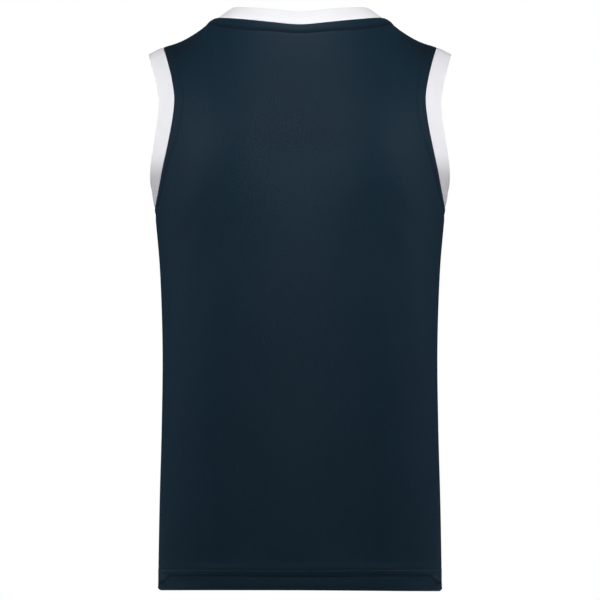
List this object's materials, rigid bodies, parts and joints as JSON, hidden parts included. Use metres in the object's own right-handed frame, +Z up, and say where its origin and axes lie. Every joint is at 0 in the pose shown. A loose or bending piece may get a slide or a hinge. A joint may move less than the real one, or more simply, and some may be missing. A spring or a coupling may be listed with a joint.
{
  "type": "basketball jersey",
  "caption": "Sleeveless round-necked sports top in its worn, hollow form: a back and a front panel with white sewn bands at the neck and the armholes.",
  "frame": {"origin": "midway between the shoulders, at the height where the wearer's shoulders carry the cloth", "axes": "+Z up, +Y the way the wearer faces, +X towards the wearer's right"},
  "size_m": [0.3868, 0.2432, 0.7473],
  "materials": {
    "navy_knit": "dark navy polyester knit with a fine birdseye mesh and a soft sheen",
    "white_knit": "white polyester knit band, matte"
  },
  "bodies": {
    "root": {"back_panel": "navy_knit", "front_panel": "navy_knit", "neck_band": "white_knit", "armhole_band_left": "white_knit", "armhole_band_right": "white_knit"}
  },
  "joints": []
}
